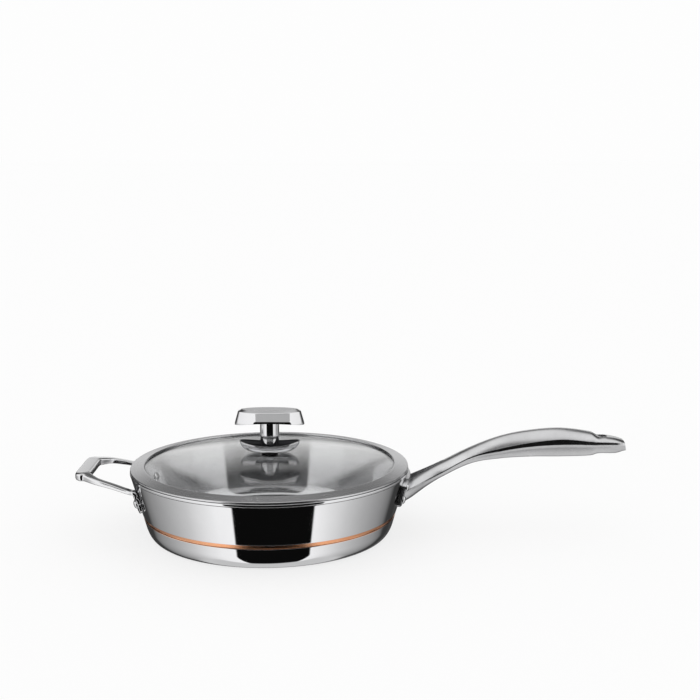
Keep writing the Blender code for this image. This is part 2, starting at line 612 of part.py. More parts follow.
# ---- knob ---------------------------------------------------------------------------------
def make_knob():
    hole = SCREW_R + SCREW_CLEARANCE
    seal_low = GLASS_TOP_Z + GAP
    seal_high = seal_low + KNOB_SEAL_THICKNESS
    turned("knob_upper_seal", [(hole, seal_high), (KNOB_SEAL_R, seal_high),
                               (KNOB_SEAL_R, seal_low), (hole, seal_low)], SMALL_STEPS, "silicone")

    # the oval dish under the stem, an open bowl with a hole for the screw
    dish_low = seal_high + GAP
    bm = bmesh.new()
    outside, inside = [], []
    for i in range(5):
        bulge = math.sin(math.radians(90.0 * i / 4.0))
        rise = 1.0 - math.cos(math.radians(90.0 * i / 4.0))
        half_x = DISH_FOOT[0] + (DISH_RIM[0] - DISH_FOOT[0]) * bulge
        half_y = DISH_FOOT[1] + (DISH_RIM[1] - DISH_FOOT[1]) * bulge
        arch = -DISH_DIP * rise
        outside.append(oval(half_x, half_y, dish_low + DISH_HEIGHT * rise, arch))
        inner_z = dish_low + DISH_WALL + (DISH_HEIGHT - DISH_WALL) * rise
        inside.append(oval(half_x - DISH_WALL, half_y - DISH_WALL, inner_z, arch))
    rings = outside + inside[::-1]
    rings += [oval(hole, hole, dish_low + DISH_WALL), oval(hole, hole, dish_low)]
    loft(bm, rings, wrap_rings=True)
    mesh_object("knob_dish", bm, "mirror")

    stem_low = dish_low + DISH_WALL + GAP
    stem_high = CAP_UNDERSIDE_Z - GAP
    screw_low = GLASS_TOP_Z - GLASS_THICKNESS - KNOB_SEAL_THICKNESS - LOWER_WASHER_THICKNESS - 3.0 * GAP
    screw_high = screw_low + SCREW_LENGTH
    lower_bore = screw_high + 0.0010
    top_screw_high = CAP_TOP_Z - INSET_THICKNESS - 3.0 * GAP
    upper_bore = top_screw_high - TOP_SCREW_LENGTH - 0.0010
    turned("knob_stem", [(0.0, lower_bore), (hole, lower_bore), (hole, stem_low), (STEM_FOOT_R, stem_low),
                         (STEM_FOOT_R + 0.0012, stem_low + 0.0012), (STEM_R, stem_low + 0.0036),
                         (STEM_R, stem_high - 0.0004), (STEM_R - 0.0004, stem_high), (hole, stem_high),
                         (hole, upper_bore), (0.0, upper_bore)], SMALL_STEPS, "mirror", wrap=False)

    # the cap: a hollow oval hood with a recess in its top and a hole for its screw
    web_top = CAP_TOP_Z - INSET_THICKNESS - GAP
    head_r = TOP_SCREW_HEAD_R + SCREW_CLEARANCE
    inner_edge = (CAP_EDGE[0] - CAP_WALL * 1.4, CAP_EDGE[1] - CAP_WALL * 1.4)
    bm = bmesh.new()
    rings = [
        oval(INSET[0] + GAP, INSET[1] + GAP, CAP_TOP_Z),
        oval(CAP_EDGE[0] - 0.0006, CAP_EDGE[1] - 0.0006, CAP_EDGE_Z + 0.0004),
        oval(CAP_EDGE[0], CAP_EDGE[1], CAP_EDGE_Z - 0.0003),
        oval(CAP_EDGE[0] * 0.55 + CAP_SKIRT[0] * 0.45, CAP_EDGE[1] * 0.55 + CAP_SKIRT[1] * 0.45,
             CAP_EDGE_Z * 0.52 + CAP_SKIRT_Z * 0.48, CAP_ARCH * 0.48),
        oval(CAP_SKIRT[0], CAP_SKIRT[1], CAP_SKIRT_Z + 0.0005, CAP_ARCH),
        oval(CAP_SKIRT[0] - 0.0006, CAP_SKIRT[1] - 0.0006, CAP_SKIRT_Z, CAP_ARCH),
        oval(CAP_SKIRT[0] - CAP_WALL, CAP_SKIRT[1] - CAP_WALL, CAP_SKIRT_Z, CAP_ARCH),
        oval(inner_edge[0], inner_edge[1], CAP_UNDERSIDE_Z),
        oval(hole, hole, CAP_UNDERSIDE_Z),
        oval(hole, hole, top_screw_high - (head_r - hole) - 0.0002),
        oval(head_r, head_r, top_screw_high - 0.0002),
        oval(head_r, head_r, web_top),
        oval(INSET[0] + GAP, INSET[1] + GAP, web_top),
    ]
    loft(bm, rings, wrap_rings=True)
    mesh_object("knob_cap", bm, "mirror")

    bm = bmesh.new()
    plate_low = web_top + GAP
    low_edge, top_edge = 0.0002, 0.0005
    loft(bm, [oval(INSET[0] - low_edge, INSET[1] - low_edge, plate_low),
              oval(INSET[0], INSET[1], plate_low + low_edge), oval(INSET[0], INSET[1], CAP_TOP_Z - low_edge),
              oval(INSET[0] - top_edge, INSET[1] - top_edge, CAP_TOP_Z)], cap_ends=True)
    mesh_object("knob_inset_plate", bm, "brushed")

    turned("knob_top_screw", [(0.0, top_screw_high - TOP_SCREW_LENGTH),
                              (SCREW_R, top_screw_high - TOP_SCREW_LENGTH),
                              (SCREW_R, top_screw_high - (TOP_SCREW_HEAD_R - SCREW_R)),
                              (TOP_SCREW_HEAD_R, top_screw_high), (0.0, top_screw_high)],
           SMALL_STEPS, "zinc", wrap=False)

    # under the glass: seal, washer and the screw that clamps the whole knob
    seal_top = GLASS_TOP_Z - GLASS_THICKNESS - GAP
    washer_top = seal_top - KNOB_SEAL_THICKNESS - GAP
    # the glass's underside falls away from its middle, so the rings keep to its flat centre
    for name, z, radius, thickness, finish in (
            ("knob_lower_seal", seal_top, KNOB_SEAL_R, KNOB_SEAL_THICKNESS, "silicone"),
            ("knob_lower_washer", washer_top, LOWER_WASHER_R, LOWER_WASHER_THICKNESS, "mirror")):
        drop = dome_z(0.0) - dome_z(radius)
        turned(name, [(hole, z - drop), (radius, z - drop), (radius, z - drop - thickness),
                      (hole, z - drop - thickness)], SMALL_STEPS, finish)
    drop = dome_z(0.0) - dome_z(LOWER_WASHER_R)
    head_top = washer_top - LOWER_WASHER_THICKNESS - GAP - drop
    turned("knob_screw", [(0.0, head_top - SCREW_HEAD_H), (SCREW_HEAD_R * 0.75, head_top - SCREW_HEAD_H),
                          (SCREW_HEAD_R, head_top - SCREW_HEAD_H * 0.55), (SCREW_HEAD_R, head_top),
                          (SCREW_R, head_top), (SCREW_R, screw_high), (0.0, screw_high)],
           SMALL_STEPS, "zinc", wrap=False)


def build():
    clear_scene()
    make_pan()
    make_long_handle()
    make_helper_handle()
    make_rivets()
    make_lid()
    make_knob()


build()
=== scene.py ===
"""Lidded saute pan: the visual model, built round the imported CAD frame.

Units are metres and +Z is up.  The long handle points along +X and the camera looks along +Y.
"""

import math

import bmesh
import bpy
from mathutils import Matrix, Vector


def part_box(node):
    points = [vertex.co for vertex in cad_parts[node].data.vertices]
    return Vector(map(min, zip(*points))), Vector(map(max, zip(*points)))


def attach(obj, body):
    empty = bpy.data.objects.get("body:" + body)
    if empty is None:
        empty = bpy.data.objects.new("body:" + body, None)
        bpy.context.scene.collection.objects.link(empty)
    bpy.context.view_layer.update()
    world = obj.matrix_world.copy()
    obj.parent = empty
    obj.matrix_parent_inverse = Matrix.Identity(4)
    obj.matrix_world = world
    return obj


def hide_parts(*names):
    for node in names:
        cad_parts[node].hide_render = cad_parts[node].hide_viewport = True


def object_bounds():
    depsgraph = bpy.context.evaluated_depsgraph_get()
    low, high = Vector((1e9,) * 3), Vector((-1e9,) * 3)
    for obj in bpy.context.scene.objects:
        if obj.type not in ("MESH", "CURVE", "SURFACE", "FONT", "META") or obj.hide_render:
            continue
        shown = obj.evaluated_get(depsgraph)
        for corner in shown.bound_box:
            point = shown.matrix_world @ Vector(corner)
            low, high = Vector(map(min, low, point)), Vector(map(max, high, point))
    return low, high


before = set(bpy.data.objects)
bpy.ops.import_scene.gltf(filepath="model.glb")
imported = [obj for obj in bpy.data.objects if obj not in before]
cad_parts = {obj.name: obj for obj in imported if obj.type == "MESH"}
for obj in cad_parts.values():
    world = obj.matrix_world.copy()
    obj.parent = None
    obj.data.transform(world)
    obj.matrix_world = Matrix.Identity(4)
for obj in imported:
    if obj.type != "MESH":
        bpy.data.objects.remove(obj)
CAD_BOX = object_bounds()

# ---- sizes read from the frame -----------------------------------------------------------
LINER_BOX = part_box("pan_inner_liner")
RIM_R = LINER_BOX[1].x                      # outer radius of the lip
PAN_TOP = LINER_BOX[1].z
GROOVE_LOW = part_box("base_skin")[1].z
GROOVE_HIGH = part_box("outer_wall_skin")[0].z
HANDLE_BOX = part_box("long_handle")
HELPER_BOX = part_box("helper_handle")
GLASS_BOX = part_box("lid_glass")
LID_RIM_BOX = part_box("lid_rim")
CAP_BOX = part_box("knob_cap")
PLATE_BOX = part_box("knob_inset_plate")
STEM_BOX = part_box("knob_stem")
DISH_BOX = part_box("knob_dish")

# ---- sizes of the shapes ------------------------------------------------------------------
GAP = 0.0003
WALL_TAPER = math.radians(15.55)
FILLET = (0.0120, 0.0294)                   # width and height of the corner at the base
LIP_THICKNESS = 0.0028
LIP_OVERHANG = 0.0004
SKIN = 0.0009
CORE = 0.0008
WALL_STACK = 0.0025 + 2.0 * GAP             # three layers and the two gaps between them
SKIN_EDGE = 0.00025                         # rounding of the groove's edges and the skin's upper edge
LIP_ROLL = 0.0009                           # rounding of the lip's outer edges
LIP_INNER_ROLL = 0.0011
LIP_POLISH = 0.0040                         # the lip's polish runs this far down the inside

RIVET_R = 0.0028
RIVET_HEAD_R = 0.0043
RIVET_HEAD_H = 0.0024
RIVET_INNER_SHARE = 0.7                     # height of the head inside the pan, as a share of the outer
SEAT_R = RIVET_HEAD_R + 0.0004              # the room that a fitting leaves round a rivet's head
HANDLE_RIVET_ANGLE = 0.0299 / RIM_R
HANDLE_RIVET_Z = (0.0408, 0.0535)
HELPER_RIVET_ANGLE = 0.0483 / RIM_R
HELPER_RIVET_Z = 0.0412

PLATE_THICKNESS = 0.0036
PLATE_ANGLE = 0.0374 / RIM_R
PLATE_Z = (0.0315, 0.0600)
PLATE_CORNER = 0.0045                       # taken off above and below at the plate's two ends
PLATE_CORNER_START = 0.66                   # share of the half width at which its corners begin
PLATE_EDGE = 0.0007                         # rounding of the plate's edges
FORK_HALF_GAP = 0.0170
FORK_END_X = 0.1735
FORK_END_R = 0.0014
FORK_CUTTER_Z = (0.0, 0.12)
TIP_LEAN = 0.245                            # how far the tip's end face leans, per height
HANG_HOLE = (0.3315, 0.0048)                # place along X, and radius

GRIP_INSET = 0.0002                         # keeps the bent grip inside the CAD box
GRIP_WIDTH = 0.0145
GRIP_THICKNESS = 0.0078
GRIP_HALF_Y = 0.0345
LEG_HALF_Y = 0.0508
LEG = (0.0080, 0.0036)
TAB = (0.0180, 0.0030)
TAB_Z = (0.0325, 0.0508)
BAR_CORNER = 0.38                           # rounding of the bar's corners, as a share of its thickness

GLASS_THICKNESS = 0.0040
GLASS_RISE = 0.0116
GLASS_HOLE_R = 0.0045
GLASS_EDGE = 0.0011                         # rounding of the glass's edges
GLASS_CLEARANCE = 0.0005                    # room between the glass's edge and the rim
SEAL_THICKNESS = 0.0005
RIM_INNER_R = 0.1244
RIM_SLOPE = math.radians(9.8)
RIM_SHEET = 0.0008
RIM_CURL = 0.0004                           # thickness of the rim's inner edge
RIM_EDGE_MIN = 0.0012                       # least height of the rim's outer edge
RIM_BEND = 0.0002                           # rounding of the bends under the rim
LID_LIFT_GAP = 0.0004
SKIRT_CLEARANCE = 0.0009
SKIRT_FOOT = 0.0016                         # width of the solid corner between skirt and flange

SCREW_HOLE_R = 0.0028
CAP_EDGE = (0.0312, 0.0146)
CAP_EDGE_DROP = 0.0017                      # the cap's upper edge lies this far under its top
CAP_ARCH = 0.0040
CAP_WALL = 0.0016
CAP_LIP = (0.0003, 0.0022)                  # the skirt flares by this much, over this height
PLATE_CENTER_R = 0.0005                     # size of the flat oval that closes the inset plate
DISH_FOOT = (0.0140, 0.0085)
DISH_DIP = 0.0036                           # the dish's rim is this much lower at its front and back
DISH_WALL = 0.0012
DISH_BULGE = 0.8                            # below 1 the dish's side is fuller than a quarter ellipse
STEM_FOOT_R = 0.0076
STEM_FOOT_H = 0.0040

AROUND = 224                                # segments round the pan and the lid
AROUND_SMALL = 64
AROUND_RIVET = 48                           # segments round a rivet and round the hanging hole
AROUND_SEAT = 40
SUPPORT = 0.0003                            # distance of the loops that hold a face flat
CUTTER_REACH = 0.03                         # how far a cutter runs out past the piece
WALL_CUTTER_RISE = 0.02
HOLE_CUTTER_RISE = 0.01


# ---- mesh building --------------------------------------------------------------------------
def link_mesh(name, bm, sharp=35.0):
    bmesh.ops.remove_doubles(bm, verts=bm.verts[:], dist=1.0e-6)
    bmesh.ops.recalc_face_normals(bm, faces=bm.faces[:])
    mesh = bpy.data.meshes.new(name)
    bm.to_mesh(mesh)
    bm.free()
    mesh.shade_smooth()
    mesh.set_sharp_from_angle(angle=math.radians(sharp))
    obj = bpy.data.objects.new(name, mesh)
    bpy.context.scene.collection.objects.link(obj)
    return obj


def mix(a, b, share):
    return tuple(x + (y - x) * share for x, y in zip(a, b))


def rounded(corners, steps=6, closed=True):
    """Rounds an outline's corners; each corner is its coordinates followed by its rounding."""
    outline = []
    count = len(corners)
    for i, (*corner, rounding) in enumerate(corners):
        before, after = corners[i - 1][:-1], corners[(i + 1) % count][:-1]
        at_end = not closed and i in (0, count - 1)
        if rounding == 0.0 or at_end:
            outline.append(tuple(corner))
            continue
        back, ahead = math.dist(corner, before), math.dist(corner, after)
        start = mix(corner, before, min(rounding / back, 0.45))
        end = mix(corner, after, min(rounding / ahead, 0.45))
        for k in range(steps + 1):
            t = k / steps
            outline.append(mix(mix(start, corner, t), mix(corner, end, t), t))
    return outline


def supported(outline, closed=True):
    """Adds a point near both ends of each long stretch, so that smooth shading keeps it straight."""
    held = []
    pairs = list(zip(outline, outline[1:] + outline[:1]))
    if not closed:
        pairs = pairs[:-1]
    for here, there in pairs:
        held.append(here)
        length = math.dist(here, there)
        if length > 5.0 * SUPPORT:
            held += [mix(here, there, SUPPORT / length), mix(there, here, SUPPORT / length)]
    if not closed:
        held.append(outline[-1])
    return held


def turned(name, outline, steps=AROUND, closed=True, sharp=35.0):
    """Turns (radius, z) points about Z; an open outline starts and ends on the axis."""
    bm = bmesh.new()
    verts = [bm.verts.new((radius, 0.0, z)) for radius, z in outline]
    edges = [bm.edges.new(pair) for pair in zip(verts, verts[1:])]
    if closed:
        edges.append(bm.edges.new((verts[-1], verts[0])))
    bmesh.ops.spin(bm, geom=verts + edges, cent=(0, 0, 0), axis=(0, 0, 1),
                   angle=2.0 * math.pi, steps=steps, use_merge=True)
    return link_mesh(name, bm, sharp)


def loft(bm, rings, wrap=False, cap=False):
    made = [[bm.verts.new(point) for point in ring] for ring in rings]
    pairs = list(zip(made, made[1:]))
    if wrap:
        pairs.append((made[-1], made[0]))
    for first, second in pairs:
        for i in range(len(first)):
            j = (i + 1) % len(first)
            bm.faces.new((first[i], first[j], second[j], second[i]))
    if cap:
        bm.faces.new(made[0])
        bm.faces.new(made[-1])


def oval(half_x, half_y, z, arch=0.0, steps=96):
    ring = []
    for i in range(steps):
        angle = 2.0 * math.pi * i / steps
        rise = arch * math.sin(angle) ** 2
        ring.append(Vector((half_x * math.cos(angle), half_y * math.sin(angle), z + rise)))
    return ring


def arc(center, radii, start, end, count):
    points = []
    for i in range(count):
        angle = math.radians(start + (end - start) * i / (count - 1))
        points.append((center[0] + radii[0] * math.cos(angle), center[1] + radii[1] * math.sin(angle)))
    return points


def smooth_row(rows, x):
    """Reads a table of rows (x, a, b, ...) at x, on a Catmull-Rom curve through its points."""
    last = len(rows) - 2
    k = max(i for i in range(last + 1) if rows[i][0] <= x + 1.0e-9)
    before, here, there, after = rows[max(k - 1, 0)], rows[k], rows[k + 1], rows[min(k + 2, last + 1)]
    span = there[0] - here[0]
    t = (x - here[0]) / span
    values = []
    for a, b, c, d in list(zip(before, here, there, after))[1:]:
        slope_b = (c - a) / (there[0] - before[0]) * span
        slope_c = (d - b) / (after[0] - here[0]) * span
        values.append((2 * t ** 3 - 3 * t ** 2 + 1) * b + (t ** 3 - 2 * t ** 2 + t) * slope_b
                      + (-2 * t ** 3 + 3 * t ** 2) * c + (t ** 3 - t ** 2) * slope_c)
    return values


def cut(obj, cutter, operation="DIFFERENCE"):
    """Applies an exact Boolean and removes the cutter."""
    modifier = obj.modifiers.new("cut", "BOOLEAN")
    modifier.operation = operation
    modifier.solver = "EXACT"
    modifier.object = cutter
    depsgraph = bpy.context.evaluated_depsgraph_get()
    mesh = bpy.data.meshes.new_from_object(obj.evaluated_get(depsgraph))
    obj.modifiers.clear()
    obj.data = mesh
    bpy.data.objects.remove(cutter, do_unlink=True)


def place(piece, node, body, material):
    """Gives a finished piece its material and its body, and hides the CAD node that it stands for."""
    piece.data.materials.clear()
    piece.data.materials.append(material)
    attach(piece, body)
    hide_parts(node)


# ---- materials ------------------------------------------------------------------------------
class Graph:
    """Short spellings for building a node tree."""

    def __init__(self, tree):
        self.tree = tree

    def add(self, kind, **settings):
        node = self.tree.nodes.new(kind)
        for key, value in settings.items():
            setattr(node, key, value)
        return node

    def link(self, source, target):
        self.tree.links.new(source, target)

    def math(self, operation, a, b=0.0, c=0.0):
        node = self.add("ShaderNodeMath", operation=operation)
        for socket, value in zip(node.inputs, (a, b, c)):
            if isinstance(value, (int, float)):
                socket.default_value = value
            else:
                self.link(value, socket)
        return node.outputs[0]

    def split(self, vector):
        node = self.add("ShaderNodeSeparateXYZ")
        self.link(vector, node.inputs[0])
        return node.outputs

    def join(self, x, y, z):
        node = self.add("ShaderNodeCombineXYZ")
        for socket, value in zip(node.inputs, (x, y, z)):
            if isinstance(value, (int, float)):
                socket.default_value = value
            else:
                self.link(value, socket)
        return node.outputs[0]

    def noise(self, vector, scale, detail=3.0, roughness=0.55):
        node = self.add("ShaderNodeTexNoise")
        self.link(vector, node.inputs["Vector"])
        node.inputs["Scale"].default_value = scale
        node.inputs["Detail"].default_value = detail
        node.inputs["Roughness"].default_value = roughness
        return node.outputs["Fac"]

    def fit(self, value, low, high, source=(0.25, 0.75)):
        node = self.add("ShaderNodeMapRange")
        self.link(value, node.inputs["Value"])
        node.inputs["From Min"].default_value, node.inputs["From Max"].default_value = source
        node.inputs["To Min"].default_value, node.inputs["To Max"].default_value = low, high
        return node.outputs["Result"]

    def ramp(self, value, stops):
        node = self.add("ShaderNodeValToRGB")
        self.link(value, node.inputs[0])
        elements = node.color_ramp.elements
        for i, (position, color) in enumerate(stops):
            element = elements[i] if i < 2 else elements.new(position)
            element.position = position
            element.color = color if len(color) == 4 else (*color, 1.0)
        return node.outputs["Color"]


def new_material(name, metallic=1.0):
    material = bpy.data.materials.new(name)
    material.use_nodes = True
    graph = Graph(material.node_tree)
    shader = material.node_tree.nodes["Principled BSDF"]
    shader.inputs["Metallic"].default_value = metallic
    position = graph.add("ShaderNodeTexCoord").outputs["Object"]
    return material, graph, shader, position


def add_bump(graph, shader, height, strength, distance):
    bump = graph.add("ShaderNodeBump")
    bump.inputs["Strength"].default_value = strength
    bump.inputs["Distance"].default_value = distance
    graph.link(height, bump.inputs["Height"])
    graph.link(bump.outputs["Normal"], shader.inputs["Normal"])


def ring_vector(graph, position, across, along):
    """Coordinates that run round the Z axis: fine across the brushing, coarse along it."""
    x, y, z = graph.split(position)
    radius = graph.math("SQRT", graph.math("ADD", graph.math("MULTIPLY", x, x),
                                           graph.math("MULTIPLY", y, y)))
    angle = graph.math("ARCTAN2", y, x)
    return graph.join(graph.math("MULTIPLY", radius, across),
                      graph.math("MULTIPLY", z, across),
                      graph.math("MULTIPLY", graph.math("ABSOLUTE", angle), along))


def bar_vector(graph, position, across, along):
    """Coordinates for brushing that runs along X."""
    x, y, z = graph.split(position)
    return graph.join(graph.math("MULTIPLY", x, along), graph.math("MULTIPLY", y, across),
                      graph.math("MULTIPLY", z, across))


def polished_steel(name, tint=(0.80, 0.80, 0.81), gloss=(0.025, 0.06)):
    """Mirror-polished steel with a faint haze and the hair lines that wiping leaves."""
    material, graph, shader, position = new_material(name)
    cloud = graph.noise(position, 38.0, detail=4.0)
    dark = tuple(c * 0.96 for c in tint)
    graph.link(graph.ramp(cloud, ((0.3, dark), (0.7, tint))), shader.inputs["Base Color"])
    graph.link(graph.fit(cloud, *gloss), shader.inputs["Roughness"])
    hair = graph.noise(ring_vector(graph, position, 900.0, 3.0), 1.0, detail=2.0)
    add_bump(graph, shader, hair, 0.02, 0.0002)
    return material


def ring_brushed_steel(name, tint, gloss, anisotropy, line_strength):
    """Steel brushed in rings about the Z axis."""
    material, graph, shader, position = new_material(name)
    lines = graph.noise(ring_vector(graph, position, 2600.0, 5.0), 1.0, detail=5.0, roughness=0.7)
    cloud = graph.noise(position, 30.0)
    dark = tuple(c * 0.84 for c in tint)
    graph.link(graph.ramp(lines, ((0.3, dark), (0.7, tint))), shader.inputs["Base Color"])
    mottle = graph.math("ADD", graph.math("MULTIPLY", lines, 0.6), graph.math("MULTIPLY", cloud, 0.4))
    graph.link(graph.fit(mottle, *gloss), shader.inputs["Roughness"])
    tangent = graph.add("ShaderNodeTangent", direction_type="RADIAL", axis="Z")
    graph.link(tangent.outputs[0], shader.inputs["Tangent"])
    shader.inputs["Anisotropic"].default_value = anisotropy
    shader.inputs["Anisotropic Rotation"].default_value = 0.25
    add_bump(graph, shader, lines, line_strength, 0.0003)
    return material


def satin_cast_steel(name, tint, gloss, grain):
    """Cast steel with a satin finish: fine grain, drawn out a little along the handle."""
    material, graph, shader, position = new_material(name)
    lines = graph.noise(bar_vector(graph, position, 2200.0, 130.0), 1.0, detail=4.0, roughness=0.65)
    cloud = graph.noise(position, 45.0, detail=4.0)
    dark = tuple(c * 0.88 for c in tint)
    graph.link(graph.ramp(cloud, ((0.3, dark), (0.7, tint))), shader.inputs["Base Color"])
    mottle = graph.math("ADD", graph.math("MULTIPLY", lines, 0.5), graph.math("MULTIPLY", cloud, 0.5))
    graph.link(graph.fit(mottle, *gloss), shader.inputs["Roughness"])
    add_bump(graph, shader, lines, grain, 0.0002)
    return material


def copper_metal(name):
    """Turned copper: tool lines round the band and a slight change of tone."""
    material, graph, shader, position = new_material(name)
    lines = graph.noise(ring_vector(graph, position, 3000.0, 2.0), 1.0, detail=3.0)
    cloud = graph.noise(position, 60.0)
    graph.link(graph.ramp(cloud, ((0.3, (0.93, 0.40, 0.20)), (0.7, (1.0, 0.52, 0.30)))),
               shader.inputs["Base Color"])
    graph.link(graph.fit(lines, 0.16, 0.30), shader.inputs["Roughness"])
    add_bump(graph, shader, lines, 0.15, 0.0002)
    return material


def clear_glass(name):
    """Tempered glass with the faintest smears."""
    material, graph, shader, position = new_material(name, metallic=0.0)
    shader.inputs["Transmission Weight"].default_value = 1.0
    shader.inputs["IOR"].default_value = 1.5
    smears = graph.noise(position, 25.0, detail=4.0)
    graph.link(graph.ramp(smears, ((0.3, (0.985, 0.99, 0.99)), (0.7, (0.995, 1.0, 1.0)))),
               shader.inputs["Base Color"])
    graph.link(graph.fit(smears, 0.0, 0.012), shader.inputs["Roughness"])
    return material


def silicone(name, tint):
    """Silicone with a fine matt grain."""
    material, graph, shader, position = new_material(name, metallic=0.0)
    grain = graph.noise(position, 900.0, detail=3.0)
    dark = tuple(c * 0.7 for c in tint)
    graph.link(graph.ramp(grain, ((0.3, dark), (0.7, tint))), shader.inputs["Base Color"])
    graph.link(graph.fit(grain, 0.45, 0.62), shader.inputs["Roughness"])
    add_bump(graph, shader, grain, 0.15, 0.0002)
    return material


# ---- the pan's lines ------------------------------------------------------------------------
def wall_radius(z):
    """Outer radius of the straight wall at a height."""
    lip_low = PAN_TOP - LIP_THICKNESS
    return RIM_R - LIP_OVERHANG - (lip_low - z) * math.tan(WALL_TAPER)


def outer_line(top_z, count=28):
    end = math.atan(math.tan(WALL_TAPER) * FILLET[1] / FILLET[0])
    flat_r = wall_radius(FILLET[1] * (1.0 - math.sin(end))) - FILLET[0] * math.cos(end)
    corner = arc((flat_r, FILLET[1]), FILLET, -90.0, -math.degrees(end), count)
    return corner + [(wall_radius(top_z), top_z)]


def inward(line, depth):
    """Moves an outer line into the wall by depth, and keeps the height of its upper end."""
    moved = []
    for i, (radius, z) in enumerate(line):
        before, after = line[max(i - 1, 0)], line[min(i + 1, len(line) - 1)]
        along = Vector((after[0] - before[0], after[1] - before[1])).normalized()
        moved.append((radius - along.y * depth, z + along.x * depth))
    moved[0] = (line[0][0], line[0][1] + depth)
    moved[-1] = (line[-1][0] - depth / math.cos(WALL_TAPER), line[-1][1])
    return moved


def stretch(line, z_from, z_to):
    """The part of a rising line between two heights, with a point exactly at each."""
    def at(z):
        for (r0, z0), (r1, z1) in zip(line, line[1:]):
            if z0 <= z <= z1:
                return (r0 + (r1 - r0) * (z - z0) / (z1 - z0), z)
        return line[-1]
    inside = [point for point in line if z_from + 1.0e-5 < point[1] < z_to - 1.0e-5]
    return [at(z_from)] + inside + [at(z_to)]


def wall_matrix(angle, z):
    """A frame on the wall's outside with +Z pointing out, square to the wall."""
    outward = Vector((math.cos(WALL_TAPER) * math.cos(angle), math.cos(WALL_TAPER) * math.sin(angle),
                      -math.sin(WALL_TAPER)))
    point = Vector((wall_radius(z) * math.cos(angle), wall_radius(z) * math.sin(angle), z))
    return Matrix.Translation(point) @ outward.to_track_quat("Z", "Y").to_matrix().to_4x4()


def wall_cutter(name):
    """Everything inside the pan's outer wall, with the gap that a fitting keeps to it."""
    top_z = PAN_TOP + WALL_CUTTER_RISE
    clear = GAP / math.cos(WALL_TAPER)
    outline = [(0.0, 0.0), (wall_radius(0.0) + clear, 0.0), (wall_radius(top_z) + clear, top_z),
               (0.0, top_z)]
    return turned(name, outline, closed=False)


def cut_rivet_seat(fitting, angle, z, thickness):
    """Clears the room round a rivet's head, from the fitting's outer face outwards."""
    low, high = GAP + thickness, CUTTER_REACH
    seat = turned("seat_cutter", [(0.0, low), (SEAT_R, low), (SEAT_R, high), (0.0, high)],
                  steps=AROUND_SEAT, closed=False)
    seat.data.transform(wall_matrix(angle, z))
    cut(fitting, seat)


# ---- pan ------------------------------------------------------------------------------------
def make_pan(polished, brushed, copper):
    lip_low = PAN_TOP - LIP_THICKNESS
    outside = outer_line(lip_low - GAP)
    skin_in = inward(outside, SKIN)
    core_out = inward(outside, SKIN + GAP)
    core_in = inward(outside, SKIN + GAP + CORE)
    liner_out = inward(outside, SKIN + CORE + 2.0 * GAP)
    liner_in = inward(outside, WALL_STACK)
    top = outside[-1][1]

    outer = stretch(outside, GROOVE_HIGH, top)
    inner = stretch(skin_in, GROOVE_HIGH, top)[::-1]
    corners = [(*outer[0], SKIN_EDGE), *((*p, 0.0) for p in outer[1:-1]), (*outer[-1], SKIN_EDGE),
               *((*p, 0.0) for p in inner)]
    wall = turned("pan_wall_polished", supported(rounded(corners)))
    place(wall, "outer_wall_skin", "pan", polished)

    outer = stretch(outside, 0.0, GROOVE_LOW)
    inner = stretch(skin_in, skin_in[0][1], GROOVE_LOW)[::-1]
    corners = [(0.0, 0.0, 0.0), *((*p, 0.0) for p in outer[:-1]), (*outer[-1], SKIN_EDGE),
               *((*p, 0.0) for p in inner), (0.0, SKIN, 0.0)]
    base = turned("pan_base_polished", supported(rounded(corners, closed=False), closed=False),
                  closed=False)
    place(base, "base_skin", "pan", polished)

    core_line = [(0.0, core_out[0][1]), *core_out, *core_in[::-1], (0.0, core_in[0][1])]
    core = turned("copper_layer", supported(core_line, closed=False), closed=False)
    place(core, "copper_core", "pan", copper)

    lip_inner = wall_radius(PAN_TOP) - WALL_STACK / math.cos(WALL_TAPER)
    corners = [(0.0, liner_out[0][1], 0.0), *((*p, 0.0) for p in liner_out[:-1]),
               (liner_out[-1][0], lip_low, 0.0002), (RIM_R, lip_low, LIP_ROLL),
               (RIM_R, PAN_TOP, LIP_ROLL), (lip_inner, PAN_TOP, LIP_INNER_ROLL),
               *((*p, 0.0) for p in liner_in[:-1][::-1]),
               (0.0, liner_in[0][1], 0.0)]
    liner = turned("pan_inside_and_lip", supported(rounded(corners, closed=False), closed=False),
                   closed=False)
    place(liner, "pan_inner_liner", "pan", brushed)
    liner.data.materials.append(polished)
    for face in liner.data.polygons:
        if face.center.z > PAN_TOP - LIP_POLISH:
            face.material_index = 1


def make_rivets(polished):
    """Domed rivets, square to the wall; the dome outside is taller than the one inside."""
    places = []
    for side, sign in (("left", 1.0), ("right", -1.0)):
        for level, z in zip(("lower", "upper"), HANDLE_RIVET_Z):
            places.append(("handle_rivet_" + level + "_" + side, sign * HANDLE_RIVET_ANGLE, z,
                           PLATE_THICKNESS))
        places.append(("helper_rivet_" + side, math.pi - sign * HELPER_RIVET_ANGLE, HELPER_RIVET_Z,
                       TAB[1]))
    for node, angle, z, clamped in places:
        inner, outer = -(WALL_STACK + GAP), clamped + 2.0 * GAP
        head_in = arc((0.0, inner), (RIVET_HEAD_R, RIVET_HEAD_H * RIVET_INNER_SHARE), -90.0, 0.0, 10)
        head_out = arc((0.0, outer), (RIVET_HEAD_R, RIVET_HEAD_H), 0.0, 90.0, 12)
        outline = [(0.0, head_in[0][1])] + head_in[1:] + [(RIVET_R, inner), (RIVET_R, outer)]
        outline += head_out[:-1] + [(0.0, head_out[-1][1])]
        rivet = turned(node + "_polished", outline, steps=AROUND_RIVET, closed=False)
        rivet.data.transform(wall_matrix(angle, z))
        place(rivet, node, "pan", polished)


